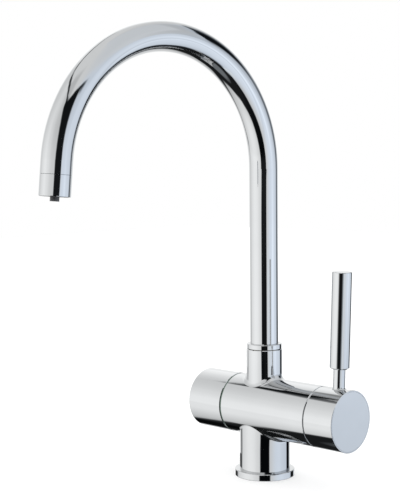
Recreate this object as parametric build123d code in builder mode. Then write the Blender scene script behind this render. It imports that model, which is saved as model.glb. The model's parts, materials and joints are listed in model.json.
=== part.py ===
from build123d import *
import os
from math import sin, cos, sqrt, radians

os.makedirs("parts", exist_ok=True)

# Three way filtered water tap, in millimetres.
# Origin: centre of the base underside, on the deck. +Z up, the barrel along X
# (mixer lever at +X, filter knob at -X), the user stands at -Y.

# ---------------------------------------------------------------- dimensions
# base and column
BASE_R = 25.4            # base ring
BASE_H = 5.6
SPIGOT_R = 19.5          # foot of the body inside the base ring
COLUMN_R = 21.5

# barrel
ZB = 58.5                # height of the barrel's axis
BARREL_R = 25.4
BODY_XL = -27.6          # left end of the body
BODY_XR = 63.0           # right end of the body
COLUMN_BLEND = 3.0       # cast blend between barrel and column
NECK_BLEND = 5.0         # cast blend between barrel and neck

# neck and spout
NECK_R = 15.25
NECK_TOP = 108.5
NECK_BORE = 12.2
NECK_FLOOR = 84.0
PILOT_R = 4.6
PILOT_FLOOR = 73.0
TUBE_R = 12.0
TUBE_IN = 10.5
COLLAR_R = 14.9
COLLAR_Z0 = 108.8
COLLAR_Z1 = 113.1
TUBE_Z0 = 110.4
RISER_TOP = 260.7
ARC_R = 105.1
ARC_DEG = 174.7
OUT_DROP = 26.6          # straight run after the arc, to the outlet's end
OUT_LEN = 16.4           # outlet collar
SPOUT_YAW = -4.4         # spout stands this far off straight ahead

# water ways in the body
INLET = 7.9              # inlets and stud stand at (+-INLET, +-INLET)
INLET_R = 4.5            # tapping size of M10 x 1
INLET_DEPTH = 12.0
STUD_R = 3.4             # tapping size of M8
STUD_DEPTH = 15.0
FOOT_H = 26.0            # inlet foot: lower part of the column, brazed under the body
WAY_R = 3.0

# mixer cartridge, 35 mm, on the barrel's axis
SEAT_X = 24.0
CART_R = 17.5
CART_BORE = 17.8
CART_TOP = 54.0
NUT_R = 20.5
NUT_END = 60.0
PIVOT_X = 48.0           # pivot pin of the lever stem
BALL_X = 40.4            # ball end of the lever stem
BALL_R = 3.0
DISC_OFF = -1.3          # moving disc sits this far below the axis when shut
STEM_W = 8.0             # square of the lever stem
SEAM_P = BODY_XR - PIVOT_X
DOME_R = 29.15           # ball-shaped cover that the hub slides over
HUB_SOCKET_R = 29.55
DOME_OPEN_R = 16.5

# lever
HUB_END = 92.5
LEVER_X = 80.9
ROD_R = 4.9
BOSS_TOP = 86.3
GRIP_R = 8.1
GRIP_Z0 = 100.6
GRIP_Z1 = 179.2
LEVER_LEAN = 1.92        # the lever leans outwards, in degrees, about the grip's foot

# filter side
RING_X = -28.8           # left face of the indicator ring
RING_R = 25.05
KNOB_X0 = -29.1
KNOB_END = -66.0
VALVE_SEAT = -12.0

X_AXIS = Axis((0, 0, ZB), (1, 0, 0))
# profiles of turned pieces on the barrel's axis: local x = X, local y = radius up
BARREL = Plane(origin=(0, 0, ZB), x_dir=(1, 0, 0), z_dir=(0, -1, 0))


def across(x):
    """Plane square to the barrel's axis at x: local x = +Y, local y = +Z."""
    return Plane(origin=(x, 0, ZB), x_dir=(0, 1, 0), z_dir=(1, 0, 0))


def lever_plane(z):
    """Plane square to the lever's own axis, z measured along it."""
    t = radians(LEVER_LEAN)
    s = z - GRIP_Z0
    return Plane(origin=(LEVER_X + s * sin(t), 0, GRIP_Z0 + s * cos(t)), x_dir=(cos(t), 0, -sin(t)),
                 z_dir=(sin(t), 0, cos(t)))


# =============================================================== fixed pieces

# --- body casting: top of the column, barrel and neck in one, with its bores and water ways
with BuildPart() as body_casting:
    with BuildSketch(across(BODY_XL)):
        Circle(BARREL_R)
    extrude(amount=BODY_XR - BODY_XL)
    with BuildSketch(Plane.XY.offset(FOOT_H)):
        Circle(COLUMN_R)
    extrude(amount=ZB - FOOT_H)
    with BuildSketch(Plane.XY.offset(ZB)):
        Circle(NECK_R)
    extrude(amount=NECK_TOP - ZB)
    joints_of_casting = [
        e for e in body_casting.edges()
        if e.geom_type not in (GeomType.CIRCLE, GeomType.LINE)
    ]
    fillet([e for e in joints_of_casting if e.center().Z < ZB], COLUMN_BLEND)
    joints_of_casting = [
        e for e in body_casting.edges()
        if e.geom_type not in (GeomType.CIRCLE, GeomType.LINE)
        and e.center().Z > ZB + 15 and e.length > 60
    ]
    fillet(joints_of_casting, NECK_BLEND)
    rim_edges = body_casting.edges().filter_by(GeomType.CIRCLE)
    chamfer([e for e in rim_edges if abs(e.center().X - BODY_XL) < 0.01], 0.25)
    fillet([e for e in rim_edges if abs(e.center().X - BODY_XR) < 0.01], 0.6)
    top = [e for e in body_casting.edges().filter_by(GeomType.CIRCLE)
           if abs(e.center().Z - NECK_TOP) < 0.01]
    chamfer(top, 0.4)
    # mixer cartridge bore and the nut's thread
    with BuildSketch(across(SEAT_X)):
        Circle(CART_BORE)
    extrude(amount=BODY_XR - SEAT_X, mode=Mode.SUBTRACT)
    with BuildSketch(across(CART_TOP)):
        Circle(NUT_R)
    extrude(amount=BODY_XR - CART_TOP, mode=Mode.SUBTRACT)
    # filter valve bore, its thread and the recess for the hexagon
    with BuildSketch(across(VALVE_SEAT)):
        Circle(9.6)
    extrude(amount=BODY_XL - VALVE_SEAT, mode=Mode.SUBTRACT)
    with BuildSketch(across(-19.5)):
        Circle(10.5)
    extrude(amount=BODY_XL + 19.5, mode=Mode.SUBTRACT)
    # neck bore and pilot bore
    with BuildSketch(Plane.XY.offset(NECK_FLOOR)):
        Circle(NECK_BORE)
    extrude(amount=NECK_TOP - NECK_FLOOR, mode=Mode.SUBTRACT)
    with BuildSketch(Plane.XY.offset(PILOT_FLOOR)):
        Circle(PILOT_R)
    extrude(amount=NECK_FLOOR - PILOT_FLOOR, mode=Mode.SUBTRACT)
    # hole of the spout retaining screw, at the back of the neck
    with BuildSketch(Plane(origin=(0, 10, 100.7), x_dir=(1, 0, 0), z_dir=(0, 1, 0))):
        Circle(2.0)
    extrude(amount=6, mode=Mode.SUBTRACT)
    # hot and cold: straight up, then along the barrel to the cartridge seat
    with BuildSketch(Plane.XY.offset(FOOT_H)):
        with Locations((INLET, -INLET), (INLET, INLET)):
            Circle(WAY_R)
    extrude(amount=ZB - 4.0 - FOOT_H, mode=Mode.SUBTRACT)
    with BuildSketch(across(INLET)):
        with Locations((-INLET, -4.0), (INLET, -4.0)):
            Circle(WAY_R)
    extrude(amount=SEAT_X - INLET, mode=Mode.SUBTRACT)
    # mixed water: back from the seat, then up into the neck bore
    with BuildSketch(across(8.4)):
        with Locations((0, 8.2)):
            Circle(2.6)
    extrude(amount=SEAT_X - 8.4, mode=Mode.SUBTRACT)
    with BuildSketch(Plane.XY.offset(ZB + 8.2)):
        with Locations((8.4, 0)):
            Circle(2.6)
    extrude(amount=NECK_FLOOR - ZB - 8.2, mode=Mode.SUBTRACT)
    # filtered water: up, across to the valve seat, and from the valve to the pilot bore
    with BuildSketch(Plane.XY.offset(FOOT_H)):
        with Locations((-7.6, -INLET)):
            Circle(2.4)
    extrude(amount=ZB - FOOT_H, mode=Mode.SUBTRACT)
    with BuildSketch(Plane(origin=(-7.6, -INLET, ZB), x_dir=(1, 0, 0), z_dir=(0, 1, 0))):
        Circle(2.4)
    extrude(amount=INLET, mode=Mode.SUBTRACT)
    with BuildSketch(across(VALVE_SEAT)):
        Circle(2.4)
    extrude(amount=-7.6 - VALVE_SEAT, mode=Mode.SUBTRACT)
    with BuildSketch(Plane.XY.offset(ZB)):
        with Locations((-15.5, 0)):
            Circle(2.0)
    extrude(amount=15.5, mode=Mode.SUBTRACT)
    with BuildSketch(across(-15.5)):
        with Locations((0, 15.5)):
            Circle(2.0)
    extrude(amount=15.5, mode=Mode.SUBTRACT)
body_casting.part.label = "body_casting"
export_step(body_casting.part, "parts/body_casting.step")

# --- inlet foot: lower part of the column, with the tapped inlets, the stud hole
# and the water ways up into the body
with BuildPart() as inlet_foot:
    with BuildSketch(Plane.XY):
        Circle(SPIGOT_R)
    extrude(amount=BASE_H)
    with BuildSketch(Plane.XY.offset(BASE_H)):
        Circle(COLUMN_R)
    extrude(amount=FOOT_H - BASE_H)
    with BuildSketch(Plane.XY):
        with Locations((INLET, -INLET), (INLET, INLET), (-INLET, -INLET)):
            Circle(INLET_R)
    extrude(amount=INLET_DEPTH, mode=Mode.SUBTRACT)
    with BuildSketch(Plane.XY):
        with Locations((-INLET, INLET)):
            Circle(STUD_R)
    extrude(amount=STUD_DEPTH, mode=Mode.SUBTRACT)
    with BuildSketch(Plane.XY.offset(INLET_DEPTH)):
        with Locations((INLET, -INLET), (INLET, INLET)):
            Circle(WAY_R)
        with Locations((-7.6, -INLET)):
            Circle(2.4)
    extrude(amount=FOOT_H - INLET_DEPTH, mode=Mode.SUBTRACT)
inlet_foot.part.label = "inlet_foot"
export_step(inlet_foot.part, "parts/inlet_foot.step")

# --- base ring with a groove for its gasket
with BuildPart() as base_ring:
    with BuildSketch(Plane.XY):
        Circle(BASE_R)
        Circle(SPIGOT_R, mode=Mode.SUBTRACT)
    extrude(amount=BASE_H)
    outer_top = [e for e in base_ring.edges().filter_by(GeomType.CIRCLE)
                 if abs(e.radius - BASE_R) < 0.01 and e.center().Z > 1]
    fillet(outer_top, 0.8)
    outer_low = [e for e in base_ring.edges().filter_by(GeomType.CIRCLE)
                 if abs(e.radius - BASE_R) < 0.01 and e.center().Z < 0.5]
    chamfer(outer_low, 0.25)
    with BuildSketch(Plane.XY):
        Circle(23.4)
        Circle(21.2, mode=Mode.SUBTRACT)
    extrude(amount=1.8, mode=Mode.SUBTRACT)
base_ring.part.label = "base_ring"
export_step(base_ring.part, "parts/base_ring.step")

with BuildPart() as base_gasket:
    with BuildSketch(Plane.XY):
        Circle(23.35)
        Circle(21.25, mode=Mode.SUBTRACT)
    extrude(amount=1.8)
base_gasket.part.label = "base_gasket"
export_step(base_gasket.part, "parts/base_gasket.step")

# --- dark ring in the seam between body and filter knob
with BuildPart() as indicator_ring:
    with BuildSketch(across(RING_X)):
        Circle(RING_R)
        Circle(19.0, mode=Mode.SUBTRACT)
    extrude(amount=BODY_XL - RING_X)
indicator_ring.part.label = "indicator_ring"
export_step(indicator_ring.part, "parts/indicator_ring.step")

# --- two plain bearing bushes of the spout, in the neck bore
with BuildPart() as spout_bush_upper:
    with BuildSketch(Plane.XY.offset(103.4)):
        Circle(NECK_BORE)
        Circle(10.96, mode=Mode.SUBTRACT)
    extrude(amount=5.0)
spout_bush_upper.part.label = "spout_bush_upper"
export_step(spout_bush_upper.part, "parts/spout_bush_upper.step")

with BuildPart() as spout_bush_lower:
    with BuildSketch(Plane.XY.offset(86.2)):
        Circle(NECK_BORE)
        Circle(10.96, mode=Mode.SUBTRACT)
    extrude(amount=4.0)
spout_bush_lower.part.label = "spout_bush_lower"
export_step(spout_bush_lower.part, "parts/spout_bush_lower.step")

# --- dog point grub screw that keeps the spout in the neck
with BuildPart() as spout_retaining_screw:
    with BuildSketch(Plane(origin=(0, 11.9, 100.7), x_dir=(1, 0, 0), z_dir=(0, 1, 0))):
        Circle(2.0)
    extrude(amount=2.4)
    with BuildSketch(Plane(origin=(0, 9.5, 100.7), x_dir=(1, 0, 0), z_dir=(0, 1, 0))):
        Circle(1.25)
    extrude(amount=2.4)
    with BuildSketch(Plane(origin=(0, 12.6, 100.7), x_dir=(1, 0, 0), z_dir=(0, 1, 0))):
        RegularPolygon(1.0, 6, major_radius=False)
    extrude(amount=1.7, mode=Mode.SUBTRACT)
spout_retaining_screw.part.label = "spout_retaining_screw"
export_step(spout_retaining_screw.part, "parts/spout_retaining_screw.step")

# --- mixer cartridge, fixed pieces
PORTS = [(-INLET, -4.0), (INLET, -4.0), (0, 8.2)]

with BuildPart() as cartridge_base:
    with BuildSketch(across(SEAT_X)):
        Circle(CART_R)
        with Locations(*PORTS):
            Circle(3.0, mode=Mode.SUBTRACT)
    extrude(amount=5.0)
    with BuildSketch(across(SEAT_X)):
        with Locations(*PORTS):
            Circle(4.3)
    extrude(amount=1.6, mode=Mode.SUBTRACT)
    # two locating pegs' flats on the rim
    with BuildSketch(across(SEAT_X)):
        with Locations((0, -CART_R), (0, CART_R)):
            Rectangle(4, 1.6)
    extrude(amount=5.0, mode=Mode.SUBTRACT)
cartridge_base.part.label = "cartridge_base"
export_step(cartridge_base.part, "parts/cartridge_base.step")

with BuildPart() as cartridge_port_seals:
    with BuildSketch(across(SEAT_X)):
        with Locations(*PORTS):
            Circle(4.3)
            Circle(3.0, mode=Mode.SUBTRACT)
    extrude(amount=1.6)
cartridge_port_seals.part.label = "cartridge_port_seals"
export_step(cartridge_port_seals.part, "parts/cartridge_port_seals.step")

with BuildPart() as fixed_ceramic_disc:
    with BuildSketch(across(29.0)):
        Circle(14.25)
        with Locations(*PORTS):
            Circle(2.8, mode=Mode.SUBTRACT)
    extrude(amount=4.0)
fixed_ceramic_disc.part.label = "fixed_ceramic_disc"
export_step(fixed_ceramic_disc.part, "parts/fixed_ceramic_disc.step")

with BuildPart() as cartridge_housing:
    with BuildSketch(BARREL):
        with BuildLine():
            Polyline((29.0, 14.3), (29.0, CART_R), (CART_TOP, CART_R), (CART_TOP, 11.4),
                     (52.0, 11.4), (52.0, 14.3), close=True)
        make_face()
    revolve(axis=X_AXIS)
cartridge_housing.part.label = "cartridge_housing"
export_step(cartridge_housing.part, "parts/cartridge_housing.step")

with BuildPart() as cartridge_nut:
    with BuildSketch(across(CART_TOP)):
        Circle(NUT_R)
        Circle(13.2, mode=Mode.SUBTRACT)
    extrude(amount=NUT_END - CART_TOP)
    with BuildSketch(across(NUT_END - 2.5)):
        with PolarLocations(16.2, 6):
            Rectangle(7.2, 3.0)
    extrude(amount=2.5, mode=Mode.SUBTRACT)
cartridge_nut.part.label = "cartridge_nut"
export_step(cartridge_nut.part, "parts/cartridge_nut.step")

# ball-shaped cover, centred on the lever's pivot, so the hub can tilt over it
with BuildPart() as cartridge_dome:
    dome_foot_r = sqrt(DOME_R**2 - SEAM_P**2)
    dome_in = DOME_R - 2.2
    mid = (dome_foot_r + DOME_OPEN_R) / 2
    mid_in = (20.4 + DOME_OPEN_R) / 2
    with BuildSketch(BARREL):
        with BuildLine():
            p0 = (BODY_XR, dome_foot_r)
            p1 = (PIVOT_X + sqrt(DOME_R**2 - DOME_OPEN_R**2), DOME_OPEN_R)
            ThreePointArc(p0, (PIVOT_X + sqrt(DOME_R**2 - mid**2), mid), p1)
            q1 = (PIVOT_X + sqrt(dome_in**2 - DOME_OPEN_R**2), DOME_OPEN_R)
            q0 = (PIVOT_X + sqrt(dome_in**2 - 18.6**2), 18.6)
            Line(p1, q1)
            qm = (DOME_OPEN_R + 18.6) / 2
            ThreePointArc(q1, (PIVOT_X + sqrt(dome_in**2 - qm**2), qm), q0)
            Polyline(q0, (NUT_END, 18.6), (NUT_END, NUT_R), (BODY_XR, NUT_R), p0)
        make_face()
    revolve(axis=X_AXIS)
cartridge_dome.part.label = "cartridge_dome"
export_step(cartridge_dome.part, "parts/cartridge_dome.step")

# --- filter valve, fixed pieces
with BuildPart() as filter_valve_body:
    with BuildSketch(BARREL):
        with BuildLine():
            Polyline((-13.5, 7.3), (-13.5, 8.8), (-19.5, 8.8), (-19.5, 10.5), (BODY_XL, 10.5),
                     (BODY_XL, 9.0), (-33.0, 9.0), (-33.0, 7.2), (-37.0, 7.2), (-37.0, 4.56),
                     (-24.4, 4.56), (-24.4, 7.3), close=True)
        make_face()
    revolve(axis=X_AXIS)
    # hexagon that tightens it
    with BuildSketch(across(-32.6)):
        RegularPolygon(12.0, 6, major_radius=False)
        Circle(8.5, mode=Mode.SUBTRACT)
    extrude(amount=BODY_XL + 32.6)
    # windows that let the filtered water out
    with BuildSketch(Plane.XY.offset(ZB - 12)):
        with Locations((-17.2, 0)):
            Rectangle(3.2, 5.0)
    extrude(amount=24, mode=Mode.SUBTRACT)
filter_valve_body.part.label = "filter_valve_body"
export_step(filter_valve_body.part, "parts/filter_valve_body.step")

with BuildPart() as filter_valve_seal:
    with BuildSketch(across(-13.5)):
        Circle(8.8)
        Circle(3.4, mode=Mode.SUBTRACT)
    extrude(amount=1.5)
filter_valve_seal.part.label = "filter_valve_seal"
export_step(filter_valve_seal.part, "parts/filter_valve_seal.step")

with BuildPart() as filter_fixed_disc:
    with BuildSketch(across(-15.5)):
        Circle(7.25)
        with Locations((0, 3.6), (0, -3.6)):
            Circle(1.7, mode=Mode.SUBTRACT)
    extrude(amount=2.0)
filter_fixed_disc.part.label = "filter_fixed_disc"
export_step(filter_fixed_disc.part, "parts/filter_fixed_disc.step")

# =============================================================== turning guide
with BuildPart() as cartridge_guide:
    with BuildSketch(BARREL):
        with BuildLine():
            Polyline((41.5, 0), (41.5, 14.0), (51.7, 14.0), (51.7, 11.0), (57.2, 11.0),
                     (57.2, 0), close=True)
        make_face()
    revolve(axis=X_AXIS)
    # slot for the lever stem, with room for its tilt
    with BuildSketch(BARREL):
        with BuildLine():
            Polyline((41.0, -4.6), (47.0, -4.6), (58.0, -9.1), (58.0, 4.6), (49.0, 4.6),
                     (45.0, 6.3), (41.0, 6.3), close=True)
        make_face()
    extrude(amount=STEM_W / 2 + 0.35, both=True, mode=Mode.SUBTRACT)
    # hole for the pivot pin
    with BuildSketch(BARREL):
        with Locations((PIVOT_X, 0)):
            Circle(1.5)
    extrude(amount=10.4, both=True, mode=Mode.SUBTRACT)
cartridge_guide.part.label = "cartridge_guide"
export_step(cartridge_guide.part, "parts/cartridge_guide.step")

with BuildPart() as stem_pivot_pin:
    with BuildSketch(BARREL):
        with Locations((PIVOT_X, 0)):
            Circle(1.5)
    extrude(amount=10.4, both=True)
stem_pivot_pin.part.label = "stem_pivot_pin"
export_step(stem_pivot_pin.part, "parts/stem_pivot_pin.step")

# ========================================================= sliding ceramic disc
with BuildPart() as moving_ceramic_disc:
    with BuildSketch(across(33.05)):
        with Locations((0, DISC_OFF)):
            Circle(12.4)
    extrude(amount=3.95)
    # mixing pocket in the sealing face
    with BuildSketch(across(33.05)):
        with Locations((0, DISC_OFF + 1.5)):
            SlotCenterToCenter(9.0, 7.0)
    extrude(amount=2.2, mode=Mode.SUBTRACT)
moving_ceramic_disc.part.label = "moving_ceramic_disc"
export_step(moving_ceramic_disc.part, "parts/moving_ceramic_disc.step")

with BuildPart() as disc_carrier:
    with BuildSketch(across(37.0)):
        with Locations((0, DISC_OFF)):
            Circle(12.4)
        Circle(BALL_R + 0.35, mode=Mode.SUBTRACT)
    extrude(amount=4.0)
disc_carrier.part.label = "disc_carrier"
export_step(disc_carrier.part, "parts/disc_carrier.step")

# ================================================================= lever pieces
with BuildPart() as cartridge_stem:
    with BuildSketch(across(44.0)):
        Rectangle(STEM_W, STEM_W)
    extrude(amount=87.6 - 44.0)
    with BuildSketch(BARREL):
        with BuildLine():
            Polyline((BALL_X, 0), (BALL_X, 1.9), (44.0, 2.6), (44.0, 0), close=True)
        make_face()
    revolve(axis=X_AXIS)
    with Locations((BALL_X, 0, ZB)):
        Sphere(BALL_R)
    with BuildSketch(BARREL):
        with Locations((PIVOT_X, 0)):
            Circle(1.56)
    extrude(amount=6, both=True, mode=Mode.SUBTRACT)
cartridge_stem.part.label = "cartridge_stem"
export_step(cartridge_stem.part, "parts/cartridge_stem.step")

with BuildPart() as lever_hub:
    lip_r = 25.0
    lip_x = PIVOT_X + sqrt(HUB_SOCKET_R**2 - lip_r**2)
    # turned shell with the socket that rides over the dome and the cap's recess
    with BuildSketch(BARREL):
        with BuildLine():
            ThreePointArc((lip_x, lip_r), (PIVOT_X + sqrt(HUB_SOCKET_R**2 - 15.0**2), 15.0),
                          (PIVOT_X + HUB_SOCKET_R, 0))
            Polyline((PIVOT_X + HUB_SOCKET_R, 0), (89.9, 0), (89.9, 24.4), (HUB_END, 24.4),
                     (HUB_END, BARREL_R - 0.2), (HUB_END - 0.2, BARREL_R),
                     (lip_x + 0.3, BARREL_R), (lip_x, lip_r))
        make_face()
    revolve(axis=X_AXIS)
    # foot of the lever rod, blended into the hub
    with BuildSketch(lever_plane(ZB + 14)):
        Circle(ROD_R)
    extrude(amount=BOSS_TOP - ZB - 14)
    foot = [e for e in lever_hub.edges()
            if e.geom_type not in (GeomType.CIRCLE, GeomType.LINE) and e.center().Z > ZB + 22]
    fillet(foot, 1.9)
    # square hole for the stem
    with BuildSketch(across(70.0)):
        Rectangle(STEM_W, STEM_W)
    extrude(amount=18.0, mode=Mode.SUBTRACT)
    # lightening pocket behind the cap, with the two screw bosses left standing
    with BuildSketch(across(80.2)):
        Circle(21.6)
        Circle(9.0, mode=Mode.SUBTRACT)
        with Locations((0, 15)):
            Rectangle(17, 16, mode=Mode.SUBTRACT)
        with Locations((0, -15)):
            Rectangle(10, 16, mode=Mode.SUBTRACT)
    extrude(amount=89.9 - 80.2, mode=Mode.SUBTRACT)
    # thread of the lever rod
    with BuildSketch(lever_plane(ZB + 11)):
        Circle(3.5)
    extrude(amount=BOSS_TOP - ZB - 11, mode=Mode.SUBTRACT)
    # grub screw hole, from below
    with BuildSketch(Plane.XY.offset(ZB - STEM_W / 2)):
        with Locations((84.8, 0)):
            Circle(2.0)
    extrude(amount=-30, mode=Mode.SUBTRACT)
lever_hub.part.label = "lever_hub"
export_step(lever_hub.part, "parts/lever_hub.step")

with BuildPart() as hub_end_cap:
    with BuildSketch(across(89.9)):
        Circle(24.35)
    extrude(amount=HUB_END - 89.9)
    chamfer([e for e in hub_end_cap.edges().filter_by(GeomType.CIRCLE)
             if e.center().X > 91], 0.12)
hub_end_cap.part.label = "hub_end_cap"
export_step(hub_end_cap.part, "parts/hub_end_cap.step")

with BuildPart() as hub_grub_screw:
    with BuildSketch(Plane.XY.offset(ZB - STEM_W / 2)):
        with Locations((84.8, 0)):
            Circle(2.0)
    extrude(amount=-6.0)
    with BuildSketch(Plane.XY.offset(ZB - STEM_W / 2 - 6.0)):
        with Locations((84.8, 0)):
            RegularPolygon(1.0, 6, major_radius=False)
    extrude(amount=2.2, mode=Mode.SUBTRACT)
hub_grub_screw.part.label = "hub_grub_screw"
export_step(hub_grub_screw.part, "parts/hub_grub_screw.step")

with BuildPart() as lever_rod:
    with BuildSketch(lever_plane(BOSS_TOP)):
        Circle(ROD_R)
    extrude(amount=GRIP_Z0 - BOSS_TOP)
    with BuildSketch(lever_plane(72.0)):
        Circle(3.5)
    extrude(amount=BOSS_TOP - 72.0)
    with BuildSketch(lever_plane(GRIP_Z0)):
        Circle(4.0)
    extrude(amount=20.0)
lever_rod.part.label = "lever_rod"
export_step(lever_rod.part, "parts/lever_rod.step")

with BuildPart() as lever_grip:
    with BuildSketch(lever_plane(GRIP_Z0)):
        Circle(GRIP_R)
    extrude(amount=GRIP_Z1 - GRIP_Z0)
    chamfer(lever_grip.edges().filter_by(GeomType.CIRCLE).group_by(Axis.Z)[0], 1.0)
    fillet(lever_grip.edges().filter_by(GeomType.CIRCLE).group_by(Axis.Z)[-1], 0.6)
    with BuildSketch(lever_plane(GRIP_Z0)):
        Circle(4.0)
    extrude(amount=22.0, mode=Mode.SUBTRACT)
lever_grip.part.label = "lever_grip"
export_step(lever_grip.part, "parts/lever_grip.step")

# =========================================================== filter knob pieces
with BuildPart() as filter_knob:
    with BuildSketch(BARREL):
        with BuildLine():
            Polyline((KNOB_X0, 22.4), (KNOB_X0, BARREL_R), (KNOB_END, BARREL_R),
                     (KNOB_END, 22.3), (-63.2, 22.3), (-63.2, 20.4), (-55.0, 20.4),
                     (-55.0, 2.3), (-50.5, 2.3), (-50.5, 9.0), (-38.6, 9.0), (-38.6, 12.0),
                     (-47.0, 12.0), (-47.0, 22.4), close=True)
        make_face()
    revolve(axis=X_AXIS)
    outer = [e for e in filter_knob.edges().filter_by(GeomType.CIRCLE)
             if abs(e.radius - BARREL_R) < 0.01]
    fillet([e for e in outer if e.center().X < -60], 1.0)
    chamfer([e for e in outer if e.center().X > -40], 0.35)
filter_knob.part.label = "filter_knob"
export_step(filter_knob.part, "parts/filter_knob.step")

with BuildPart() as knob_end_cap:
    with BuildSketch(across(KNOB_END)):
        Circle(22.25)
    extrude(amount=2.8)
    chamfer([e for e in knob_end_cap.edges().filter_by(GeomType.CIRCLE)
             if e.center().X < KNOB_END + 0.1], 0.15)
knob_end_cap.part.label = "knob_end_cap"
export_step(knob_end_cap.part, "parts/knob_end_cap.step")

# splined insert pressed into the knob
SPLINES = 20
with BuildPart() as knob_spline_insert:
    with BuildSketch(across(-50.5)):
        Circle(9.0)
        Circle(3.95, mode=Mode.SUBTRACT)
        with PolarLocations(3.85, SPLINES):
            Rectangle(0.9, 0.6, mode=Mode.SUBTRACT)
    extrude(amount=50.5 - 38.8)
knob_spline_insert.part.label = "knob_spline_insert"
export_step(knob_spline_insert.part, "parts/knob_spline_insert.step")

with BuildPart() as filter_spindle:
    with BuildSketch(BARREL):
        with BuildLine():
            Polyline((-18.6, 0), (-18.6, 6.9), (-21.0, 6.9), (-21.0, 4.5), (-29.0, 4.5),
                     (-29.0, 3.3), (-31.2, 3.3), (-31.2, 4.5), (-37.3, 4.5), (-37.3, 3.3),
                     (-38.3, 3.3), (-38.3, 3.85), (-49.8, 3.85), (-49.8, 0), close=True)
        make_face()
    revolve(axis=X_AXIS)
    with BuildSketch(across(-49.8)):
        with PolarLocations(3.75, SPLINES):
            Rectangle(0.7, 0.55)
    extrude(amount=10.8)
    # tapped hole for the knob screw
    with BuildSketch(across(-49.8)):
        Circle(1.9)
    extrude(amount=9.0, mode=Mode.SUBTRACT)
filter_spindle.part.label = "filter_spindle"
export_step(filter_spindle.part, "parts/filter_spindle.step")

with BuildPart() as spindle_o_ring:
    with BuildSketch(BARREL):
        with Locations((-30.1, 3.9)):
            Circle(0.6)
    revolve(axis=X_AXIS)
spindle_o_ring.part.label = "spindle_o_ring"
export_step(spindle_o_ring.part, "parts/spindle_o_ring.step")

with BuildPart() as spindle_clip:
    with BuildSketch(across(-38.2)):
        Circle(6.0)
        Circle(3.35, mode=Mode.SUBTRACT)
        with Locations((0, -5)):
            Rectangle(4.6, 6, mode=Mode.SUBTRACT)
    extrude(amount=0.8)
spindle_clip.part.label = "spindle_clip"
export_step(spindle_clip.part, "parts/spindle_clip.step")

with BuildPart() as filter_moving_disc:
    with BuildSketch(across(-18.6)):
        Circle(6.9)
        with Locations((-3.6, 0), (3.6, 0)):
            Circle(1.7, mode=Mode.SUBTRACT)
    extrude(amount=3.05)
filter_moving_disc.part.label = "filter_moving_disc"
export_step(filter_moving_disc.part, "parts/filter_moving_disc.step")

with BuildPart() as knob_screw:
    with BuildSketch(across(-42.0)):
        Circle(1.9)
    extrude(amount=-13.0)
    with BuildSketch(across(-55.0)):
        Circle(3.6)
    extrude(amount=-2.4)
    with BuildSketch(across(-57.4)):
        RegularPolygon(1.25, 6, major_radius=False)
    extrude(amount=1.4, mode=Mode.SUBTRACT)
knob_screw.part.label = "knob_screw"
export_step(knob_screw.part, "parts/knob_screw.step")

# ================================================================ spout pieces
# the spout's own plane: local x = forward (over the sink), local y = up
yaw = radians(SPOUT_YAW)
forward = Vector(sin(yaw), -cos(yaw), 0)
SPOUT = Plane(origin=(0, 0, 0), x_dir=forward, z_dir=forward.cross(Vector(0, 0, 1)))
arc_end = (ARC_R * (1 - cos(radians(ARC_DEG))), RISER_TOP + ARC_R * sin(radians(ARC_DEG)))
out_dir = (sin(radians(ARC_DEG)), cos(radians(ARC_DEG)))


def along_outlet(s):
    """Point s mm past the end of the arc, in the spout's plane."""
    return (arc_end[0] + out_dir[0] * s, arc_end[1] + out_dir[1] * s)


def outlet_plane(s):
    """Plane square to the outlet, s mm past the arc, facing down the outlet."""
    p = along_outlet(s)
    o = forward * p[0] + Vector(0, 0, p[1])
    z = forward * out_dir[0] + Vector(0, 0, out_dir[1])
    side = forward.cross(Vector(0, 0, 1))
    return Plane(origin=o, x_dir=side, z_dir=z)


TUBE_END = OUT_DROP - OUT_LEN

with BuildPart() as spout_tube:
    with BuildLine(SPOUT):
        l1 = Line((0, TUBE_Z0), (0, RISER_TOP))
        l2 = TangentArc((0, RISER_TOP), arc_end, tangent=(0, 1))
        l3 = Line(arc_end, along_outlet(TUBE_END))
    with BuildSketch(Plane.XY.offset(TUBE_Z0)):
        Circle(TUBE_R)
        Circle(TUBE_IN, mode=Mode.SUBTRACT)
    sweep()
spout_tube.part.label = "spout_tube"
export_step(spout_tube.part, "parts/spout_tube.step")

INNER_Z0 = 89.5
INNER_END = OUT_DROP - 13.0
with BuildPart() as filter_water_tube:
    with BuildLine(SPOUT):
        l1 = Line((0, INNER_Z0), (0, RISER_TOP))
        l2 = TangentArc((0, RISER_TOP), arc_end, tangent=(0, 1))
        l3 = Line(arc_end, along_outlet(INNER_END))
    with BuildSketch(Plane.XY.offset(INNER_Z0)):
        Circle(4.0)
        Circle(3.0, mode=Mode.SUBTRACT)
    sweep()
filter_water_tube.part.label = "filter_water_tube"
export_step(filter_water_tube.part, "parts/filter_water_tube.step")

# chromed collar on the foot of the tube
with BuildPart() as spout_collar:
    with BuildSketch(Plane.XY.offset(COLLAR_Z0)):
        Circle(COLLAR_R)
        Circle(TUBE_R, mode=Mode.SUBTRACT)
    extrude(amount=COLLAR_Z1 - COLLAR_Z0)
    rim = [e for e in spout_collar.edges().filter_by(GeomType.CIRCLE)
           if abs(e.radius - COLLAR_R) < 0.01]
    fillet([e for e in rim if e.center().Z > 112], 0.6)
    chamfer([e for e in rim if e.center().Z < 110], 0.3)
spout_collar.part.label = "spout_collar"
export_step(spout_collar.part, "parts/spout_collar.step")

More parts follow.
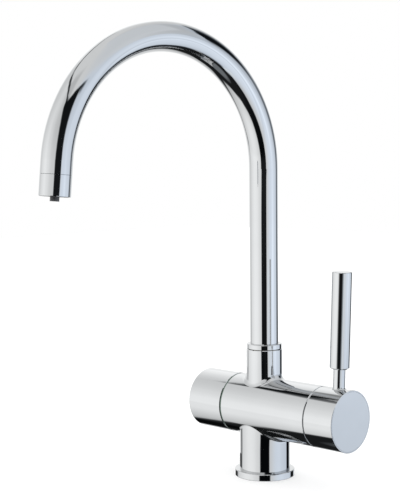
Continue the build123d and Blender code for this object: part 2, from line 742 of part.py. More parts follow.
# turned foot, brazed in the tube, that turns in the bushes of the neck
with BuildPart() as spout_foot:
    with BuildSketch(Plane.XZ):
        with BuildLine():
            Polyline((4.0, 86.5), (10.9, 86.5), (10.9, 91.2), (9.3, 91.2), (9.3, 93.9),
                     (10.9, 93.9), (10.9, 95.0), (9.3, 95.0), (9.3, 97.7), (10.9, 97.7),
                     (10.9, 99.0), (8.9, 99.0), (8.9, 102.4), (10.9, 102.4),
                     (10.9, COLLAR_Z0), (TUBE_R, COLLAR_Z0), (TUBE_R, TUBE_Z0),
                     (TUBE_IN, TUBE_Z0), (TUBE_IN, 123.0), (7.4, 123.0), (7.4, 89.5),
                     (4.0, 89.5), close=True)
        make_face()
    revolve(axis=Axis.Z)
    # mixed water passes the floor of the foot
    with BuildSketch(Plane.XY.offset(86.5)):
        with PolarLocations(5.8, 8):
            Circle(1.2)
    extrude(amount=3.0, mode=Mode.SUBTRACT)
spout_foot.part.label = "spout_foot"
export_step(spout_foot.part, "parts/spout_foot.step")

with BuildPart() as spout_o_rings:
    with BuildSketch(Plane.XZ):
        with Locations((10.72, 92.55), (10.72, 96.35)):
            Circle(1.33)
    revolve(axis=Axis.Z)
spout_o_rings.part.label = "spout_o_rings"
export_step(spout_o_rings.part, "parts/spout_o_rings.step")

# hose tail that carries the filtered water across the swivel
with BuildPart() as filter_tube_nipple:
    with BuildSketch(Plane.XZ):
        with BuildLine():
            Polyline((1.8, 75.0), (4.53, 75.0), (4.53, 77.9), (2.95, 77.9), (2.95, 79.8),
                     (4.53, 79.8), (4.53, 86.5), (4.0, 86.5), (4.0, 89.5), (3.0, 89.5),
                     (3.0, 99.0), (1.8, 99.0), close=True)
        make_face()
    revolve(axis=Axis.Z)
filter_tube_nipple.part.label = "filter_tube_nipple"
export_step(filter_tube_nipple.part, "parts/filter_tube_nipple.step")

with BuildPart() as nipple_o_ring:
    with BuildSketch(Plane.XZ):
        with Locations((3.76, 78.85)):
            Circle(0.79)
    revolve(axis=Axis.Z)
nipple_o_ring.part.label = "nipple_o_ring"
export_step(nipple_o_ring.part, "parts/nipple_o_ring.step")

# outlet collar, pushed into the end of the tube
with BuildPart() as outlet_collar:
    with BuildSketch(outlet_plane(TUBE_END)):
        Circle(TUBE_R)
        Circle(8.6, mode=Mode.SUBTRACT)
    extrude(amount=OUT_LEN)
    rim = [e for e in outlet_collar.edges().filter_by(GeomType.CIRCLE)
           if abs(e.radius - TUBE_R) < 0.01]
    fillet([e for e in rim if e.center().Z < 250], 0.5)
    chamfer([e for e in rim if e.center().Z > 252], 0.35)
    with BuildSketch(outlet_plane(TUBE_END)):
        Circle(TUBE_IN)
        Circle(8.6, mode=Mode.SUBTRACT)
    extrude(amount=-8.0)
    with BuildSketch(outlet_plane(OUT_DROP)):
        Circle(10.8)
    extrude(amount=-8.5, mode=Mode.SUBTRACT)
outlet_collar.part.label = "outlet_collar"
export_step(outlet_collar.part, "parts/outlet_collar.step")

with BuildPart() as aerator_washer:
    with BuildSketch(outlet_plane(OUT_DROP - 8.5)):
        Circle(10.6)
        Circle(7.4, mode=Mode.SUBTRACT)
    extrude(amount=1.2)
aerator_washer.part.label = "aerator_washer"
export_step(aerator_washer.part, "parts/aerator_washer.step")

# aerator insert: a ring of fine holes round the filter nozzle
with BuildPart() as aerator:
    with BuildSketch(outlet_plane(OUT_DROP - 7.3)):
        Circle(10.7)
        Circle(3.2, mode=Mode.SUBTRACT)
        with PolarLocations(5.2, 12):
            Circle(0.75, mode=Mode.SUBTRACT)
        with PolarLocations(7.4, 18):
            Circle(0.75, mode=Mode.SUBTRACT)
    extrude(amount=6.7)
    with BuildSketch(outlet_plane(OUT_DROP - 1.4)):
        Circle(9.3)
        Circle(4.1, mode=Mode.SUBTRACT)
    extrude(amount=0.8, mode=Mode.SUBTRACT)
aerator.part.label = "aerator"
export_step(aerator.part, "parts/aerator.step")

with BuildPart() as filter_nozzle:
    with BuildSketch(outlet_plane(OUT_DROP - 13.0)):
        Circle(3.0)
    extrude(amount=-7.0)
    with BuildSketch(outlet_plane(OUT_DROP - 13.0)):
        Circle(4.0)
    extrude(amount=5.0)
    with BuildSketch(outlet_plane(OUT_DROP - 8.0)):
        Circle(3.2)
    extrude(amount=8.0)
    with BuildSketch(outlet_plane(OUT_DROP - 0.4)):
        Circle(3.55)
    extrude(amount=3.8)
    # ribs round the visible tip
    for k in range(3):
        with BuildSketch(outlet_plane(OUT_DROP + 0.75 + 0.85 * k)):
            Circle(3.65)
            Circle(3.4, mode=Mode.SUBTRACT)
        extrude(amount=0.4, mode=Mode.SUBTRACT)
    with BuildSketch(outlet_plane(OUT_DROP + 3.4)):
        Circle(2.0)
    extrude(amount=-23.5, mode=Mode.SUBTRACT)
filter_nozzle.part.label = "filter_nozzle"
export_step(filter_nozzle.part, "parts/filter_nozzle.step")
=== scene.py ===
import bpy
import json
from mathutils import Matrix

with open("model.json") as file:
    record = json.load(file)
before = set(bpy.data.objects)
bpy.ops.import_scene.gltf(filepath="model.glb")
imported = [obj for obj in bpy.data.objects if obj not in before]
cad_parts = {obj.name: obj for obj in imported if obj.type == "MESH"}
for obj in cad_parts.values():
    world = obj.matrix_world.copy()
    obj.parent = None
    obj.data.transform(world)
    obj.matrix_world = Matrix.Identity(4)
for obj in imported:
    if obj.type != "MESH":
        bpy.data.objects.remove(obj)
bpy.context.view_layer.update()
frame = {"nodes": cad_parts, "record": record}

import bpy, json, math
from mathutils import Matrix, Vector

scene = bpy.context.scene
scene.view_settings.view_transform = "Standard"
scene.view_settings.look = "None"
scene.view_settings.exposure = 0.0
scene.view_settings.gamma = 1.0

# ------------------------------------------------------------------ camera
# the photograph's view: seen from the front right, a little above the horizontal
CAM_AZ, CAM_EL, CAM_ROLL = math.radians(44.54), math.radians(4.48), math.radians(-0.47)
back = Vector((math.sin(CAM_AZ) * math.cos(CAM_EL), -math.cos(CAM_AZ) * math.cos(CAM_EL), math.sin(CAM_EL)))
right = Vector((math.cos(CAM_AZ), math.sin(CAM_AZ), 0.0))
up = back.cross(right)
cam_r = right * math.cos(CAM_ROLL) + up * math.sin(CAM_ROLL)
cam_u = up * math.cos(CAM_ROLL) - right * math.sin(CAM_ROLL)
cam_at = Vector((0.0, 0.0, 0.19485)) + right * -0.05396 + back * 1.07193

cam_data = bpy.data.cameras.new("camera")
cam_data.sensor_fit = "HORIZONTAL"
cam_data.sensor_width = 36.0
cam_data.lens = 114.2046
cam_data.clip_start = 0.01
cam_data.clip_end = 60.0
cam = bpy.data.objects.new("camera", cam_data)
scene.collection.objects.link(cam)
turn = Matrix((cam_r, cam_u, back)).transposed().to_4x4()
cam.matrix_world = Matrix.Translation(cam_at) @ turn
scene.camera = cam


# ------------------------------------------------------------- node helpers
class Tree:
    """Short hand for making shader nodes."""

    def __init__(self, tree):
        self.tree = tree
        self.count = 0

    def node(self, kind, **props):
        n = self.tree.nodes.new(kind)
        n.location = ((self.count % 12) * 190 - 2300, -(self.count // 12) * 240)
        self.count += 1
        for k, v in props.items():
            setattr(n, k, v)
        return n

    def put(self, socket, value):
        if isinstance(value, bpy.types.NodeSocket):
            self.tree.links.new(value, socket)
        else:
            socket.default_value = value

    def math(self, op, a, b=0.0, c=0.0, clamp=False):
        n = self.node("ShaderNodeMath", operation=op, use_clamp=clamp)
        self.put(n.inputs[0], a)
        self.put(n.inputs[1], b)
        self.put(n.inputs[2], c)
        return n.outputs[0]

    def add(self, a, b):
        return self.math("ADD", a, b)

    def sub(self, a, b):
        return self.math("SUBTRACT", a, b)

    def mul(self, a, b):
        return self.math("MULTIPLY", a, b)

    def soft(self, x, lo, hi, out_lo=0.0, out_hi=1.0):
        """Smooth step of x from lo to hi."""
        n = self.node("ShaderNodeMapRange", interpolation_type="SMOOTHSTEP")
        self.put(n.inputs[0], x)
        self.put(n.inputs[1], lo)
        self.put(n.inputs[2], hi)
        self.put(n.inputs[3], out_lo)
        self.put(n.inputs[4], out_hi)
        return n.outputs[0]

    def mix(self, t, a, b):
        n = self.node("ShaderNodeMix", data_type="FLOAT")
        self.put(n.inputs[0], t)
        self.put(n.inputs[2], a)
        self.put(n.inputs[3], b)
        return n.outputs[0]

    def curve(self, x, points, x0, x1, y0, y1):
        """A drawn curve through points (x, y)."""
        n = self.node("ShaderNodeFloatCurve")
        c = n.mapping.curves[0]
        norm = [((px - x0) / (x1 - x0), (py - y0) / (y1 - y0)) for px, py in points]
        if norm[0][0] > 0:
            norm.insert(0, (0.0, norm[0][1]))
        if norm[-1][0] < 1:
            norm.append((1.0, norm[-1][1]))
        while len(c.points) < len(norm):
            c.points.new(0.5, 0.5)
        for p, q in zip(c.points, norm):
            p.location = q
            p.handle_type = "VECTOR"
        n.mapping.update()
        self.put(n.inputs[0], 1.0)
        self.put(n.inputs[1], self.math("MULTIPLY_ADD", x, 1 / (x1 - x0), -x0 / (x1 - x0), clamp=True))
        return self.math("MULTIPLY_ADD", n.outputs[0], y1 - y0, y0)


# -------------------------------------------------------------- studio light
CHROME = (0.58, 0.585, 0.59)  # what chrome sends back

# What polished chrome shows is the studio round it: a long soft box on the left, a cooler one on
# the right, a pale ceiling, a dark gap where the photographer stood, dark floor below the boxes
# and a dark gap at the right back. It stands still in the room. Levels are picture levels, 0 to 255.
def chrome_studio(t):
    coord = t.node("ShaderNodeTexCoord")
    norm = t.node("ShaderNodeVectorMath", operation="NORMALIZE")
    t.put(norm.inputs[0], coord.outputs["Generated"])
    xyz = t.node("ShaderNodeSeparateXYZ")
    t.put(xyz.inputs[0], norm.outputs[0])
    x, y, z = xyz.outputs
    c, s = math.cos(math.radians(44.54)), math.sin(math.radians(44.54))
    across = t.add(t.mul(x, c), t.mul(y, s))
    ahead = t.sub(t.mul(x, s), t.mul(y, c))
    a = t.mul(t.math("ARCTAN2", across, ahead), 180 / math.pi)  # degrees round, 0 at the gap, + right
    e = t.mul(t.math("ARCSINE", z), 180 / math.pi)  # degrees up

    def round_(points, lo, hi):
        return t.curve(a, points, -180, 180, lo, hi)

    def rise(points, lo, hi):
        return t.curve(e, points, -90, 90, lo, hi)

    level = round_(
        [(-180, 208), (-165, 212), (-150, 204), (-135, 196), (-120, 209), (-100, 220), (-83, 228),
         (-68, 228), (-53, 224), (-38, 212), (-23, 205), (25, 197), (37, 204), (52, 208), (67, 211),
         (80, 204), (97, 199), (112, 195), (127, 190), (142, 192), (157, 200), (172, 208), (180, 208)],
        0, 255)
    fall = rise([(-60, -12), (-50, -10), (-40, -6), (-30, -1), (-20, -1), (-13.5, -2), (-9.5, 5), (-4, 3), (0, 0), (10, -9),
                 (20, -17), (30, -21), (40, -20)], -60, 60)
    # the boxes dim towards the ceiling, the wall at the back doesn't
    back = t.soft(t.math("ABSOLUTE", a), 100, 155)
    fall = t.mul(fall, t.sub(1.0, t.mul(back, t.soft(e, 0, 8))))
    level = t.add(level, fall)
    # and the wall at the back is brightest above the boxes, and dim towards the floor
    level = t.math("MULTIPLY_ADD", t.soft(e, 4, 14),
                   round_([(-180, 8), (-172, 12), (-160, 20), (-150, 15), (-140, 5), (-128, 0), (128, 0), (145, -6),
                           (165, -4), (180, 8)], -30, 30), level)
    level = t.math("MULTIPLY_ADD", t.mul(t.soft(e, -14, -9), t.soft(e, 5, -1)),
                   round_([(-180, -18), (-165, -18), (-150, -10), (-138, 0)], -30, 30), level)
    # the left hand box is a little brighter above its middle
    level = t.math("MULTIPLY_ADD", t.mul(t.soft(t.math("ABSOLUTE", t.add(a, 93)), 14, 32, 1, 0),
                                         rise([(-4, 0), (6, 7), (26, 8), (36, 3), (44, 0)], 0, 20)), 1.0, level)
    level = t.math("MULTIPLY_ADD", t.soft(e, -10, -26),
                   round_([(-180, -20), (-170, -20), (-160, -30), (-140, -12), (-118, -3), (-100, 0), (116, 0),
                           (160, 0), (172, -12), (180, -20)], -100, 0), level)
    # the right hand box is brighter at its lower part
    level = t.math("MULTIPLY_ADD", round_([(25, 0), (45, 0.75), (70, 0.75), (84, 1.1), (104, 1.2), (112, 0.6), (119, 0)], 0, 2),
                   rise([(-60, 10), (-24, 11), (-20, 16), (-16.5, 20), (-15.2, 8), (-14.3, 1), (-12.3, 1), (-9.5, 5), (-4, 7), (0, 5), (5, 2), (10, 0)], 0, 20), level)
    # brightest parts of the right hand box and of the left hand box's far end
    spot = t.mul(t.soft(t.math("ABSOLUTE", t.sub(a, 73)), 0, 14, 1, 0),
                 t.soft(t.math("ABSOLUTE", t.add(e, 5.5)), 0, 8, 1, 0))
    level = t.math("MULTIPLY_ADD", spot, 20.0, level)
    spot = t.mul(t.soft(t.math("ABSOLUTE", t.add(a, 155)), 4, 22, 1, 0),
                 t.soft(t.math("ABSOLUTE", t.sub(e, 41)), 3, 12, 1, 0))
    level = t.math("MULTIPLY_ADD", spot, 26.0, level)

    top = round_(
        [(-180, 20), (-150, 33), (-140, 42), (-120, 48), (-110, 51), (-100, 53), (-75, 55.5),
         (-50, 54), (-30, 49), (-15, 42), (0, 39.0), (20, 37), (40, 30), (52, 23), (62, 16),
         (80, 12), (95, 21), (105, 33), (112, 37), (120, 40), (128, 42.5), (136, 44.5), (145, 44.5), (155, 41.5),
         (163, 35), (180, 20)], -90, 90)
    over = t.soft(t.sub(e, top), -1.6, 1.6)
    ceiling = rise([(10, 205), (40, 198), (60, 198), (90, 200)], 0, 255)
    # brighter over the back, a little dim over the left hand box
    ceiling = t.math("MULTIPLY_ADD", t.soft(e, 56, 34),
                     round_([(-180, 30), (-165, 28), (-150, 26), (-138, 8), (-130, 0), (150, 0), (165, 6), (180, 30)], 0, 60),
                     ceiling)
    ceiling = t.math("MULTIPLY_ADD", t.mul(t.soft(t.math("ABSOLUTE", t.add(a, 24)), 12, 34, 1, 0),
                                           t.soft(e, 68, 56)), -24.0, ceiling)
    ceiling = t.add(ceiling, round_([(20, 0), (60, -5), (100, -6), (150, -8), (168, -2), (176, 0)], -10, 0))
    # dimmer just above the right hand box
    ceiling = t.math("MULTIPLY_ADD", t.mul(t.soft(t.sub(e, top), 18, 10),
                                           round_([(74, 0), (86, 1), (130, 1), (142, 0)], 0, 1)), -17.0, ceiling)
    level = t.mix(over, level, ceiling)
    # dark edge of the left hand box, wide at its far end
    rim = t.mul(t.soft(t.math("ABSOLUTE", t.sub(e, top)), 0.5, 3.0, 1, 0),
                t.mul(t.soft(a, -112, -98), t.soft(a, -16, -4, 1, 0)))
    level = t.mix(rim, level, 50.0)
    start = round_([(-165, 45.0), (-155, 46.5), (-147, 49), (-136, 48.2), (-126, 46.6), (-115, 48.0),
                    (-105, 49.5)], -90, 90)
    slot = t.mul(t.mul(t.soft(t.sub(e, start), -0.6, 1.8), t.soft(t.sub(e, start), 4.0, 6.0, 1, 0)),
                 t.mul(t.soft(a, -168, -160), t.soft(a, -112, -100, 1, 0)))
    level = t.mix(slot, level, round_([(-160, 128), (-150, 128), (-143, 35), (-128, 24), (-119, 100), (-108, 140)],
                                      0, 255))

    # dark gap where the camera stood
    left = rise([(-90, -60), (-60, -47), (-50, -39.5), (-40, -31), (-30, -28), (-20, -25), (-14, -23.5),
                 (-10, -22.5), (-7, -22.5), (-3, -22.5), (0, -18), (2, -11), (4, -6.5), (12, -3), (20, -3.5), (27, -7),
                 (33, -13), (38, -19), (90, -19)], -180, 180)
    rightward = rise([(-90, 60), (-60, 40), (-50, 20), (-40, 14), (-30, 15), (-20, 16), (-15, 17.5),
                      (-10, 18), (-8, 18.5), (-3, 18.5), (-1.2, 19), (0.2, 29), (1.2, 37.5), (4, 40), (12, 39.5), (20, 39),
                      (28, 42), (32, 46), (90, 50)], -180, 180)
    edge = rise([(-60, 6), (-30, 5), (-18, 4), (-12, 2.5), (-3, 2.0), (3, 3.5), (12, 5), (30, 5),
                 (60, 3)], 0, 20)
    gap = t.mul(t.soft(t.sub(a, left), t.mul(edge, -1.0), edge),
                t.soft(t.sub(rightward, a), t.mul(edge, -1.0), edge))
    gap = t.mul(gap, t.sub(1.0, over))
    tail = t.mul(t.mul(t.soft(a, 28, 36), t.soft(a, 44, 58, 1, 0)),
                 t.soft(t.sub(top, e), 1.0, 7.0, 1, 0))
    gap = t.math("MAXIMUM", gap, t.mul(t.mul(tail, t.sub(1.0, over)), 0.9))
    level = t.mix(gap, level, rise([(-50, 24), (-20, 18), (-13, 15), (-10.5, 20), (-7, 28), (-2, 33), (5, 28), (20, 26),
                                    (40, 24)], 0, 255))

    # dark gap at the right back
    stripe = t.soft(t.math("ABSOLUTE", t.sub(a, rise([(-60, 129.5), (-34, 130), (-20, 130.5), (-15.5, 128.5), (-13.5, 129),
                                                      (-10, 131), (-6, 130), (-3, 127), (0, 126), (5, 127.5)], 0, 180))),
                    rise([(-38, 10), (-28, 8), (-20, 6), (-15.5, 6), (-13.5, 8), (-8, 6), (-3, 3), (0, 3), (5, 5)], 0, 20),
                    rise([(-38, 21.5), (-20, 17.5), (-15.5, 17.5), (-13.5, 18), (-8, 17), (-3, 17), (0, 18), (5, 23)], 0, 40), 1, 0)
    stripe = t.mul(stripe, t.soft(e, 12, 26, 1, 0))
    level = t.mix(stripe, level, rise([(-45, 22), (-34, 26), (-26, 38), (-18, 38), (-15.5, 16), (-13.5, 4), (-8, 26),
                                       (-3, 85), (4, 100), (12, 100), (25, 90)], 0, 255))
    under = round_([(85, 19), (95, 19), (100, 19.5), (105, 17.5), (115, 17), (122, 16), (130, 17), (136, 19),
                    (144, 21), (152, 25), (180, 30)], -90, 90)
    wedge = t.mul(t.soft(t.sub(e, under), -3.0, 7.0), t.mul(t.soft(a, 89, 97), t.soft(a, 127, 160, 1, 0)))
    wedge = t.mul(wedge, t.sub(1.0, over))
    level = t.mix(wedge, level, round_([(92, 50), (105, 26), (118, 20), (126, 32), (132, 54), (148, 70)], 0, 255))

    # dark edge of the left hand box at its far end: thin higher up, wide low down
    middle = rise([(-60, -147), (-20, -147), (-16, -140), (-13, -132.5), (-8, -130)], -180, 180)
    wide = rise([(-45, 10), (-20, 9), (-13, 7), (-8, 5)], 0, 20)
    line = t.mul(t.soft(t.math("ABSOLUTE", t.sub(a, middle)), t.mul(wide, 0.4), t.mul(wide, 1.25), 1, 0),
                 rise([(-60, 0.95), (-44, 0.95), (-36, 0.72), (-28, 0.5), (-20, 0.33), (-16, 0.5), (-13, 0.7), (-10, 0.35),
                       (-6, 0.15), (-2, 0.06), (2, 0)], 0, 1))
    level = t.mix(line, level, 25.0)

    # dark below the boxes, with the pale stand near straight down
    low = round_(
        [(-180, -52), (-168, -48), (-160, -46), (-150, -46), (-142, -50), (-132, -55), (-126, -57.5),
         (-120, -59.5), (-114, -61.5), (-102, -63), (-90, -63), (-60, -61), (-45, -52), (0, -54), (20, -57),
         (50, -59), (80, -59), (95, -56), (105, -51), (113, -47), (122, -42), (138, -35), (148, -38.5),
         (158, -43.5), (168, -47), (180, -52)], -90, 90)
    blur = round_([(-180, 9), (-160, 8), (-145, 6), (-130, 4), (-100, 4), (30, 5), (50, 7), (80, 8), (105, 5),
                   (135, 5), (150, 8), (180, 9)], 0, 20)
    floor = t.soft(t.sub(low, e), t.mul(blur, -1.0), blur)
    ground = rise([(-90, 95), (-84, 120), (-74, 105), (-66, 50), (-60, 34), (-45, 30)], 0, 255)
    level = t.mix(floor, level, ground)

    # the right hand box is cooler, and the darks are blue black
    cool = t.mul(t.soft(a, 12, 55), t.soft(a, 125, 160, 1, 0))
    cool = t.mul(cool, t.soft(t.sub(e, top), -2, 10, 1, 0.35))
    red = t.add(t.mul(level, t.math("MULTIPLY_ADD", cool, -0.036, 0.998)), -1.5)
    blue = t.add(t.mul(level, t.math("MULTIPLY_ADD", cool, 0.052, 0.998)), 1.5)
    colour = t.node("ShaderNodeCombineColor")
    for i, channel in enumerate((red, level, blue)):
        seen = t.math("POWER", t.math("MAXIMUM", t.mul(channel, 1 / 255), 0.0), 2.2)
        t.put(colour.inputs[i], t.mul(seen, 1 / CHROME[i]))
    return colour.outputs[0]


world = bpy.data.worlds.new("studio")
scene.world = world
world.use_nodes = True
world.node_tree.nodes.clear()
t = Tree(world.node_tree)
pattern = t.node("ShaderNodeBackground")
t.put(pattern.inputs["Color"], chrome_studio(t))
soft_white = t.node("ShaderNodeBackground")
soft_white.inputs["Color"].default_value = (1, 1, 1, 1)
soft_white.inputs["Strength"].default_value = 1.7
backdrop = t.node("ShaderNodeBackground")
backdrop.inputs["Color"].default_value = (1, 1, 1, 1)
backdrop.inputs["Strength"].default_value = 1.0
path = t.node("ShaderNodeLightPath")
first = t.node("ShaderNodeMixShader")
t.put(first.inputs[0], path.outputs["Is Glossy Ray"])
t.put(first.inputs[1], soft_white.outputs[0])
t.put(first.inputs[2], pattern.outputs[0])
second = t.node("ShaderNodeMixShader")
t.put(second.inputs[0], path.outputs["Is Camera Ray"])
t.put(second.inputs[1], first.outputs[0])
t.put(second.inputs[2], backdrop.outputs[0])
out = t.node("ShaderNodeOutputWorld")
t.put(out.inputs["Surface"], second.outputs[0])
world.cycles.sampling_method = "NONE"


# ----------------------------------------------------------------- materials
def surface(name, metallic, colours, roughness, bump=None, fine=None, extra=None, stretch=(1, 1, 1)):
    """A procedural material: colour and roughness vary between two values over noise of a real
    size in metres, and bump and fine are (size, height) of two scales of relief in metres."""
    mat = bpy.data.materials.new(name)
    mat.use_nodes = True
    mat.node_tree.nodes.clear()
    m = Tree(mat.node_tree)
    coord = m.node("ShaderNodeTexCoord")
    scaled = m.node("ShaderNodeMapping")
    m.put(scaled.inputs["Vector"], coord.outputs["Object"])
    scaled.inputs["Scale"].default_value = stretch

    def noise(size, detail=3.0, rough=0.55):
        n = m.node("ShaderNodeTexNoise")
        m.put(n.inputs["Vector"], scaled.outputs[0])
        n.inputs["Scale"].default_value = 1.0 / size
        n.inputs["Detail"].default_value = detail
        n.inputs["Roughness"].default_value = rough
        return n.outputs["Fac"]

    shader = m.node("ShaderNodeBsdfPrincipled")
    shader.inputs["Metallic"].default_value = metallic
    (size_c, low, high) = colours
    ramp = m.node("ShaderNodeValToRGB")
    ramp.color_ramp.elements[0].position = 0.3
    ramp.color_ramp.elements[1].position = 0.7
    ramp.color_ramp.elements[0].color = (*low, 1)
    ramp.color_ramp.elements[1].color = (*high, 1)
    m.put(ramp.inputs[0], noise(size_c))
    m.put(shader.inputs["Base Color"], ramp.outputs[0])
    (size_r, r0, r1) = roughness
    m.put(shader.inputs["Roughness"], m.soft(noise(size_r, 4.0), 0.3, 0.7, r0, r1))
    normal = None
    for part in (bump, fine):
        if part:
            b = m.node("ShaderNodeBump")
            b.inputs["Strength"].default_value = 1.0
            b.inputs["Distance"].default_value = part[1]
            m.put(b.inputs["Height"], noise(part[0], 2.0))
            if normal is not None:
                m.put(b.inputs["Normal"], normal)
            normal = b.outputs[0]
    if normal is not None:
        m.put(shader.inputs["Normal"], normal)
    for key, value in (extra or {}).items():
        shader.inputs[key].default_value = value
    o = m.node("ShaderNodeOutputMaterial")
    m.put(o.inputs[0], shader.outputs[0])
    return mat


materials = {
    # polished chrome plate: faint haze and the slow waves left by the polishing wheel
    "chrome": surface("chrome", 1.0, (0.030, (0.572, 0.577, 0.582), (0.588, 0.593, 0.598)),
                      (0.012, 0.018, 0.045), bump=(0.028, 0.000035), fine=(0.0012, 0.0000004)),
    # turned brass
    "brass": surface("brass", 1.0, (0.006, (0.66, 0.50, 0.25), (0.76, 0.59, 0.31)),
                     (0.002, 0.20, 0.36), bump=(0.0009, 0.000006), fine=(0.0002, 0.000002)),
    "stainless": surface("stainless", 1.0, (0.004, (0.55, 0.55, 0.54), (0.64, 0.64, 0.63)),
                         (0.001, 0.24, 0.40), bump=(0.0005, 0.000004), extra={"Anisotropic": 0.3}),
    "rubber": surface("rubber", 0.0, (0.003, (0.018, 0.018, 0.019), (0.038, 0.038, 0.038)),
                      (0.0015, 0.62, 0.80), bump=(0.0010, 0.00003), fine=(0.0002, 0.00001)),
    "cartridge_plastic": surface("cartridge_plastic", 0.0, (0.008, (0.76, 0.76, 0.72), (0.83, 0.83, 0.80)),
                                 (0.002, 0.36, 0.52), bump=(0.0012, 0.00002), fine=(0.0003, 0.000006)),
    "dark_plastic": surface("dark_plastic", 0.0, (0.004, (0.024, 0.025, 0.028), (0.045, 0.047, 0.050)),
                            (0.0012, 0.30, 0.46), bump=(0.0008, 0.00001), fine=(0.0002, 0.000004)),
    "ring_plastic": surface("ring_plastic", 0.0, (0.006, (0.050, 0.086, 0.064), (0.074, 0.116, 0.090)),
                            (0.002, 0.34, 0.48), bump=(0.0010, 0.00001), fine=(0.0002, 0.000004)),
    "bush_plastic": surface("bush_plastic", 0.0, (0.004, (0.84, 0.84, 0.81), (0.90, 0.90, 0.88)),
                            (0.001, 0.30, 0.42), bump=(0.0006, 0.000008)),
    "hose_plastic": surface("hose_plastic", 0.0, (0.010, (0.86, 0.87, 0.86), (0.92, 0.93, 0.92)),
                            (0.003, 0.28, 0.40), bump=(0.003, 0.00002), extra={"Subsurface Weight": 0.15,
                                                                              "Subsurface Scale": 0.002}),
    "ceramic": surface("ceramic", 0.0, (0.0008, (0.86, 0.85, 0.80), (0.93, 0.92, 0.88)),
                       (0.001, 0.10, 0.20), bump=(0.0004, 0.0000015), extra={"Coat Weight": 0.2}),
}
for part in frame["record"]["subparts"]:
    for s in frame["nodes"][part["node"]].material_slots:
        s.material = materials[part["material_slot"]]

# --------------------------------------------------------------- pale floor
floor_mesh = bpy.data.meshes.new("studio_floor")
half = 2.5
z0 = -0.0002
floor_mesh.from_pydata([(-half, -half, z0), (half, -half, z0), (half, half, z0), (-half, half, z0)], [],
                       [(0, 1, 2, 3)])
studio_floor = bpy.data.objects.new("studio_floor", floor_mesh)
scene.collection.objects.link(studio_floor)
studio_floor.data.materials.append(
    surface("pale_floor", 0.0, (0.25, (0.42, 0.42, 0.42), (0.44, 0.44, 0.44)), (0.05, 0.75, 0.9),
            extra={"Emission Color": (1.0, 1.0, 1.0, 1.0), "Emission Strength": 0.50}))
studio_floor.visible_glossy = False



# Things of the studio that only polished metal shows. Unlike the world behind them they are near, so
# each piece sees them from its own place. Each is a strip of columns or rings with its own opacity.
def place(to_right, to_camera, z):
    """A point given in metres to the right of the tap and towards the camera."""
    c, s = math.cos(CAM_AZ), math.sin(CAM_AZ)
    return (to_right * c + to_camera * s, to_right * s - to_camera * c, z)


def between(points, x):
    for (x0, y0), (x1, y1) in zip(points, points[1:]):
        if x0 <= x <= x1:
            return y0 + (y1 - y0) * (x - x0) / (x1 - x0)
    return points[0][1] if x < points[0][0] else points[-1][1]


def near_thing(name, rows, tone, tint=(0.93, 1.0, 1.06), closed=False):
    """rows are lists of (point, opacity), all of one length; tone is what it sends out."""
    n = len(rows[0])
    mesh = bpy.data.meshes.new(name)
    faces = []
    for i in range(len(rows) - 1):
        for k in range(n if closed else n - 1):
            q = (k + 1) % n
            faces.append((i * n + k, i * n + q, (i + 1) * n + q, (i + 1) * n + k))
    mesh.from_pydata([p for row in rows for p, o in row], [], faces)
    veil = mesh.attributes.new("opacity", "FLOAT", "POINT")
    veil.data.foreach_set("value", [o for row in rows for p, o in row])
    thing = bpy.data.objects.new(name, mesh)
    scene.collection.objects.link(thing)
    mat = bpy.data.materials.new(name)
    mat.use_nodes = True
    mat.node_tree.nodes.clear()
    t = Tree(mat.node_tree)
    opacity = t.node("ShaderNodeAttribute", attribute_name="opacity")
    glow = t.node("ShaderNodeEmission")
    glow.inputs["Color"].default_value = (*tint, 1)
    glow.inputs["Strength"].default_value = tone
    clear = t.node("ShaderNodeBsdfTransparent")
    blend = t.node("ShaderNodeMixShader")
    t.put(blend.inputs[0], opacity.outputs["Fac"])
    t.put(blend.inputs[1], clear.outputs[0])
    t.put(blend.inputs[2], glow.outputs[0])
    o = t.node("ShaderNodeOutputMaterial")
    t.put(o.inputs[0], blend.outputs[0])
    thing.data.materials.append(mat)
    thing.visible_camera = False
    thing.visible_diffuse = False
    thing.visible_shadow = False
    thing.visible_transmission = False
    return thing


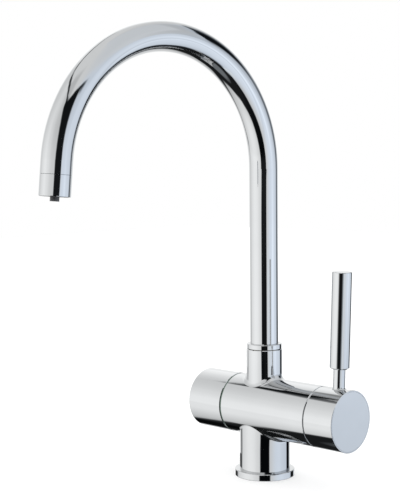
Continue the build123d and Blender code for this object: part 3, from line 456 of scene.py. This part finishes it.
# dark floor of the room, below the table, so the low pieces see it start higher up than the high ones do
rim_of_dark = [(-180, 0.57), (-172, 0.58), (-164, 0.64), (-152, 0.61), (-142, 0.49), (-135, 0.42), (-130, 0.405),
               (-125, 0.385), (-110, 0.358), (-90, 0.352), (-60, 0.355), (-45, 0.42), (-30, 0.45), (20, 0.40),
               (50, 0.35), (80, 0.34), (100, 0.35), (120, 0.38), (140, 0.48), (160, 0.55), (180, 0.57)]
steps = (0.05, 0.30, 0.80, 0.93, 1.0, 1.07, 1.19, 1.33, 1.52, 1.86, 2.4)
crisp = (1, 1, 1, 1, 0.9, 0.22, 0.12, 0.10, 0.08, 0.05, 0)
hazy = (1, 1, 1, 0.78, 0.66, 0.55, 0.36, 0.20, 0.12, 0, 0)
rings = []
for ratio, sharp, soft_one in zip(steps, crisp, hazy):
    ring = []
    for k in range(144):
        a = -180 + 2.5 * k
        far_back = min(max((abs(a) - 170) / 8, 0.0), 1.0)
        r = ratio * between(rim_of_dark, a)
        w = math.radians(a)
        ring.append((place(r * math.sin(w), r * math.cos(w), -0.334), sharp + (soft_one - sharp) * far_back))
    rings.append(ring)
near_thing("room_floor", rings, 0.0165, closed=True)
near_thing("room_floor_middle", [[(place(0, 0, -0.333), 1.0)] * 48,
                                 [(place(0.14 * math.sin(math.radians(7.5 * k)), 0.14 * math.cos(math.radians(7.5 * k)),
                                         -0.333), 1.0) for k in range(48)],
                                 [(place(0.22 * math.sin(math.radians(7.5 * k)), 0.22 * math.cos(math.radians(7.5 * k)),
                                         -0.333), 0.0) for k in range(48)]], 0.235, closed=True)


def card(name, at, reach, columns, z_low, z_high, tone):
    """An upright curved card round the point at, with columns of (direction in degrees, opacity)."""
    rows = []
    for z in (z_low, z_high):
        rows.append([(place(at[0] + reach * math.sin(math.radians(a)), at[1] + reach * math.cos(math.radians(a)), z), o)
                     for a, o in columns])
    return near_thing(name, rows, tone)


# a dark and a pale card in front of the lever, and a dark one low at the left back
lever_at = (0.0577, 0.0568)
card("lever_flag", lever_at, 0.10, [(-46, 0), (-40, 0.35), (-36, 0.72), (-31, 0.95), (-27, 1), (-18, 1)], 0.045, 0.182, 0.0125)
card("lever_fill", lever_at, 0.10, [(-5, 0), (0, 0.06), (6, 0.27), (12, 0.60), (17, 0.9), (22, 1), (29, 0)], 0.045, 0.182,
     1.12)
card("low_flag", (0, 0), 0.15, [(-153, 0), (-150, 1), (-134, 1), (-131, 0)], -0.13, -0.015, 0.004)
